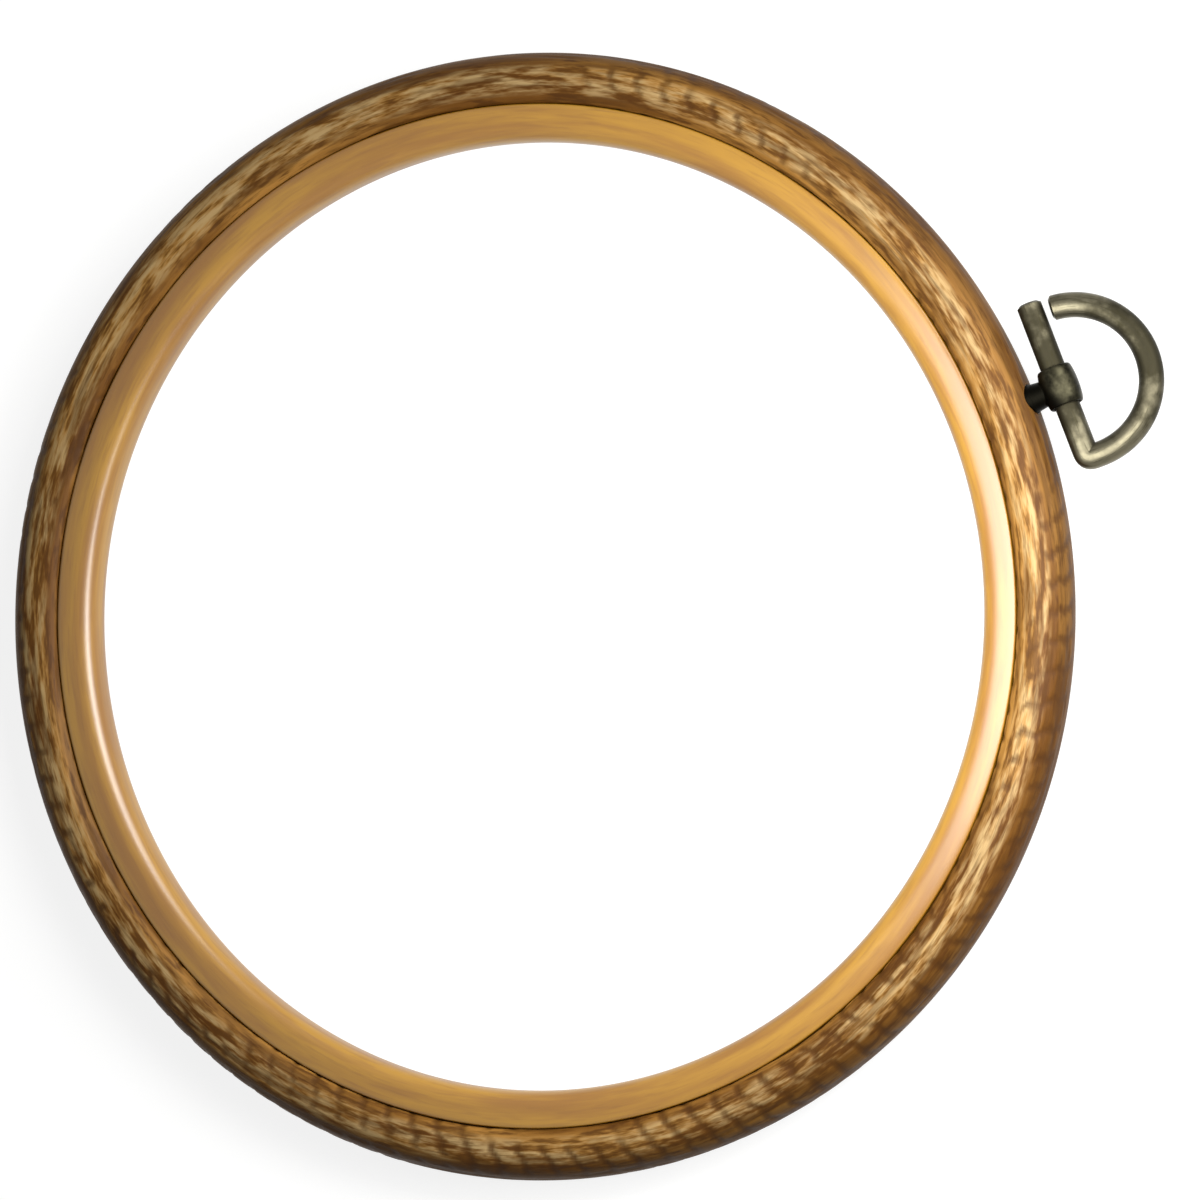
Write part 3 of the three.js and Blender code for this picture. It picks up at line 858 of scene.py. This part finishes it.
bow_radius = BOW_WIDTH / 2 - wire_radius
bar_to_crown = LOOP_LENGTH - WIRE_DIAMETER
bow_middle = bar_to_crown - bow_radius
corner_start = bow_radius - CORNER_RADIUS

# The bow stops short of the bar by the gap of the joint, and droops until its crown lies down
bow_end = 180 - math.degrees(math.asin((wire_radius + WIRE_JOINT_GAP - bow_middle) / bow_radius))
droop = math.asin((bar_place.z - wire_radius) / bar_to_crown)

# The tree that sweeps the wire along its line, with eased cut ends. The grain coordinate runs round
# the wire at full size and is pressed together along it.
wire_tree = bpy.data.node_groups.new("Wire bent along a line", "GeometryNodeTree")
given = with_inputs(wire_tree, {
    "Line": "NodeSocketGeometry",
    "Steps": "NodeSocketInt",
    "Sides": "NodeSocketInt",
    "Radius": "NodeSocketFloat",
    "Chamfer": "NodeSocketFloat",
    "Cut Girth": "NodeSocketFloat",
    "Line Stretch": "NodeSocketFloat",
    "Finish": "NodeSocketMaterial",
})
line = add(wire_tree, "GeometryNodeMeshToCurve", {"Mesh": given["Line"]})
line = add(wire_tree, "GeometryNodeResampleCurve", {"Curve": line, "Count": given["Steps"]})
along = add(wire_tree, "GeometryNodeSplineParameter", out="Length")
whole = add(wire_tree, "GeometryNodeSplineLength", out="Length")
left = add(wire_tree, "ShaderNodeMath", {0: whole, 1: along}, operation="SUBTRACT")
to_cut = add(wire_tree, "ShaderNodeMath", {0: along, 1: left}, operation="MINIMUM")
girth = add(wire_tree, "ShaderNodeMapRange",
            {"Value": to_cut, "From Max": given["Chamfer"], "To Min": given["Cut Girth"]},
            interpolation_type="SMOOTHSTEP")
line = add(wire_tree, "GeometryNodeStoreNamedAttribute",
           {"Geometry": line, "Name": "along", "Value": along}, data_type="FLOAT")
line = add(wire_tree, "GeometryNodeStoreNamedAttribute",
           {"Geometry": line, "Name": "girth", "Value": girth}, data_type="FLOAT")
circle = add(wire_tree, "GeometryNodeCurvePrimitiveCircle",
             {"Resolution": given["Sides"], "Radius": given["Radius"]})
place = add(wire_tree, "GeometryNodeInputPosition")
circle = add(wire_tree, "GeometryNodeStoreNamedAttribute",
             {"Geometry": circle, "Name": "round", "Value": place}, data_type="FLOAT_VECTOR")
girth = add(wire_tree, "GeometryNodeInputNamedAttribute", {"Name": "girth"}, data_type="FLOAT")
wire = add(wire_tree, "GeometryNodeCurveToMesh",
           {"Curve": line, "Profile Curve": circle, "Scale": girth, "Fill Caps": True})
along = add(wire_tree, "GeometryNodeInputNamedAttribute", {"Name": "along"}, data_type="FLOAT")
along = add(wire_tree, "ShaderNodeMath", {0: along, 1: given["Line Stretch"]}, operation="DIVIDE")
around = add(wire_tree, "GeometryNodeInputNamedAttribute",
             {"Name": "round"}, data_type="FLOAT_VECTOR")
lengthwise = add(wire_tree, "ShaderNodeCombineXYZ", {"Z": along})
grain = add(wire_tree, "ShaderNodeVectorMath", {0: around, 1: lengthwise}, operation="ADD")
wire = add(wire_tree, "GeometryNodeStoreNamedAttribute",
           {"Geometry": wire, "Name": "grain", "Value": grain}, data_type="FLOAT_VECTOR")
wire = add(wire_tree, "GeometryNodeRealizeInstances", {"Geometry": wire})
wire = add(wire_tree, "GeometryNodeSetMaterial", {"Geometry": wire, "Material": given["Finish"]})
add(wire_tree, "NodeGroupOutput", {"Geometry": wire})

# Drawn brass, darkened with acid and wiped back by hand: an olive-brown film in patches, and fine
# lines along the wire. The film is darker on the bar and the crown of the bow, partly film and partly
# painted shade, and paler at the bends, partly wiped and partly a painted highlight. The lines are
# drawn coarser than real ones, so that they show.
antique_brass, tree, surface = finish("Antiqued drawn brass")
place = add(tree, "ShaderNodeTexCoord", out="Object")
film = add(tree, "ShaderNodeTexNoise",
           {"Vector": place, "Scale": 1 / (FILM_WIDTH * mm), "Detail": 4.0, "Roughness": 0.6},
           out="Fac")
# The swing along the wire is partly acid film, partly painted shade on the bar and crown and painted
# highlight at the bends
along = add(tree, "ShaderNodeAttribute", attribute_name="along", out="Fac")
from_darkest = add(tree, "ShaderNodeMath", {0: along, 1: DARKEST_ALONG_WIRE}, operation="SUBTRACT")
turns = add(tree, "ShaderNodeMath",
            {0: from_darkest, 1: 2 * math.pi / SWING_PERIOD}, operation="MULTIPLY")
film_and_light = add(tree, "ShaderNodeMath", {0: turns}, operation="COSINE")
film_and_light = add(tree, "ShaderNodeMath", {0: film_and_light, 1: FILM_AND_LIGHT_SWING}, operation="MULTIPLY")
bar_film_and_shade = add(tree, "ShaderNodeMapRange",
             {"Value": along, "From Min": BAR_END - BAR_FADE, "From Max": BAR_END + BAR_FADE,
              "To Min": BAR_FILM_AND_SHADE, "To Max": 0.0}, interpolation_type="SMOOTHSTEP")
film_and_light = add(tree, "ShaderNodeMath", {0: film_and_light, 1: bar_film_and_shade}, operation="ADD")
film = add(tree, "ShaderNodeMath", {0: film, 1: film_and_light}, operation="SUBTRACT")
film = add(tree, "ShaderNodeMapRange", {"Value": film, "From Min": 0.34, "From Max": 0.7},
           interpolation_type="SMOOTHSTEP")
tint = add(tree, "ShaderNodeMix", {"Factor": film, "A": colour("#2f2c21"), "B": colour("#625d4c")},
           data_type="RGBA")
grain = add(tree, "ShaderNodeAttribute", attribute_name="grain", out="Vector")
lines = add(tree, "ShaderNodeTexNoise",
            {"Vector": grain, "Scale": 1 / DIE_LINE_WIDTH, "Detail": 2.0}, out="Fac")
lines = add(tree, "ShaderNodeMapRange",
            {"Value": lines, "From Min": 0.52, "From Max": 0.7, "To Max": 0.5},
            interpolation_type="SMOOTHSTEP")
tint = add(tree, "ShaderNodeMix", {"Factor": lines, "A": tint, "B": colour("#2b281a")},
           data_type="RGBA")
tree.links.new(tint, surface["Base Color"])
dull = add(tree, "ShaderNodeMapRange", {"Value": film, "To Min": 0.55, "To Max": 0.36})
tree.links.new(dull, surface["Roughness"])
marks = add(tree, "ShaderNodeBump",
            {"Strength": 0.35, "Distance": DIE_LINE_DEPTH * mm, "Height": lines})
tree.links.new(marks, surface["Normal"])
surface["Metallic"].default_value = 1.0

# The wire's middle line in the loop's own plane: the bar from its cut end, the tight corner, and
# the bow as far as the open joint
loop_line = [
    (-bow_radius - BAR_OVERHANG, 0),
    (corner_start, 0),
    *arc(corner_start, bow_middle, CORNER_RADIUS, bow_middle,
         -90, 0, steps=24, power=CORNER_POWER)[1:],
    *arc(0, bow_middle, bow_radius, bow_radius, 0, bow_end, steps=240)[1:],
]
into_frame = Matrix.Translation(bar_place) @ Matrix.Rotation(-droop, 4, "X")
line_mesh = bpy.data.meshes.new("hanging_loop_wire")
line_points = [into_frame @ Vector((across, out, 0)) for across, out in loop_line]
line_mesh.from_pydata(line_points, [(i, i + 1) for i in range(len(line_points) - 1)], [])
hanging_loop = bpy.data.objects.new("hanging_loop_wire", line_mesh)
bpy.context.scene.collection.objects.link(hanging_loop)
run_tree(hanging_loop, wire_tree, {
    "Steps": WIRE_STEPS,
    "Sides": WIRE_SIDES,
    "Radius": wire_radius,
    "Chamfer": CUT_CHAMFER,
    "Cut Girth": CUT_GIRTH,
    "Line Stretch": DIE_LINE_STRETCH,
    "Finish": antique_brass,
})
settle(hanging_loop)
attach(hanging_loop, "hanging_loop")
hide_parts("hanging_loop")
